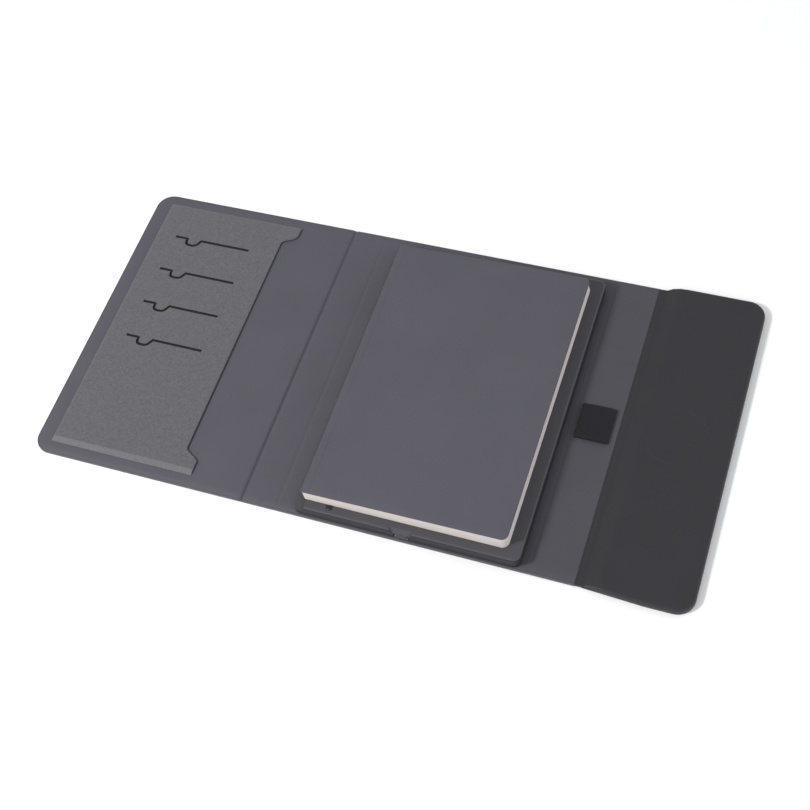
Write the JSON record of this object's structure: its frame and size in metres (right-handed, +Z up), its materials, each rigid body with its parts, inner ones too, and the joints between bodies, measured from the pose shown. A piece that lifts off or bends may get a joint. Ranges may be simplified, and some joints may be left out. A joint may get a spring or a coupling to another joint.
{
  "type": "wireless charging organiser folio",
  "caption": "Tri-fold organiser folio lying open: felt pocket cover, notebook on a flat power-bank slab, pen loop strip and a black wireless charging flap.",
  "frame": {"origin": "centre of the open folio on the surface that it rests on", "axes": "+X from the front cover's free edge towards the charging flap's, +Y away from the user, +Z up"},
  "size_m": [0.4574, 0.234, 0.0225],
  "materials": {
    "leather": "matte grained",
    "gusset_leather": "matte grained",
    "black_leather": "satin, smooth",
    "felt": "pressed felt",
    "board": "raw",
    "elastic": "woven elastic",
    "shell_plastic": "fine texture",
    "pouch": "foil",
    "circuit": "solder resist",
    "component": "moulded",
    "steel": "nickel plated",
    "copper": "enamelled wire",
    "ferrite": "sintered",
    "paper": "uncoated, cream",
    "liner": "thin woven",
    "button_plastic": "satin",
    "ribbon_cable": "polyimide film"
  },
  "bodies": {
    "base": {"base_outer_skin": "leather", "base_board": "board", "base_lining": "leather", "power_bank_wrap": "leather", "power_bank_lower_shell": "shell_plastic", "power_bank_upper_shell": "shell_plastic", "notebook_sleeve": "leather", "battery_pouch_left": "pouch", "battery_pouch_right": "pouch", "main_board": "circuit", "usb_c_shell": "steel", "usb_c_tongue": "component", "button_switch": "component", "charge_controller": "component", "power_inductor": "component", "shell_screw_1": "steel", "shell_screw_2": "steel", "shell_screw_3": "steel", "shell_screw_4": "steel", "cable_base": "ribbon_cable"},
    "power_button": {"power_button": "button_plastic"},
    "spine": {"spine_outer_skin": "leather", "spine_stiffener": "board", "spine_lining": "leather", "cover_fold": "leather", "spine_fold": "leather"},
    "front_cover": {"cover_outer_skin": "leather", "cover_board": "board", "cover_lining": "leather", "document_pocket": "felt", "card_liner": "liner", "steel_plate_front": "steel", "steel_plate_back": "steel"},
    "gusset": {"gusset_outer_skin": "leather", "gusset_board": "board", "gusset_lining": "gusset_leather", "gusset_fold": "gusset_leather", "flap_fold": "black_leather", "pen_loop": "elastic", "cable_gusset": "ribbon_cable"},
    "flap": {"flap_outer_skin": "black_leather", "flap_carrier": "shell_plastic", "charging_face": "black_leather", "charging_coil": "copper", "ferrite_shield": "ferrite", "coil_board": "circuit", "flap_magnet_front": "steel", "flap_magnet_back": "steel", "cable_flap": "ribbon_cable"},
    "notebook": {"page_block": "paper", "notebook_back_cover": "leather", "notebook_spine": "leather"},
    "notebook_cover": {"notebook_front_cover": "leather"}
  },
  "joints": [
    {"name": "spine_hinge", "type": "hinge", "parent": "base", "child": "spine", "pos_m": [-0.046, 0, 0.0012], "axis": [0, 1, 0], "range_deg": [0, 90]},
    {"name": "front_cover_hinge", "type": "hinge", "parent": "spine", "child": "front_cover", "pos_m": [-0.0702, 0, 0.0012], "axis": [0, 1, 0], "range_deg": [0, 90]},
    {"name": "gusset_hinge", "type": "hinge", "parent": "base", "child": "gusset", "pos_m": [0.1259, 0, 0.0012], "axis": [0, -1, 0], "range_deg": [0, 90]},
    {"name": "flap_hinge", "type": "hinge", "parent": "gusset", "child": "flap", "pos_m": [0.1565, 0, 0.0012], "axis": [0, -1, 0], "range_deg": [0, 90]},
    {"name": "notebook_slide", "type": "slide", "parent": "base", "child": "notebook", "axis": [1, 0, 0], "range_m": [-0.14, 0]},
    {"name": "notebook_cover_hinge", "type": "hinge", "parent": "notebook", "child": "notebook_cover", "pos_m": [-0.0219, 0, 0.02021], "axis": [0, 1, 0], "range_deg": [-170, 0]},
    {"name": "power_button_press", "type": "slide", "parent": "base", "child": "power_button", "axis": [0, 0, -1], "range_m": [0, 0.0004], "stiffness_N_per_m": 3000}
  ]
}
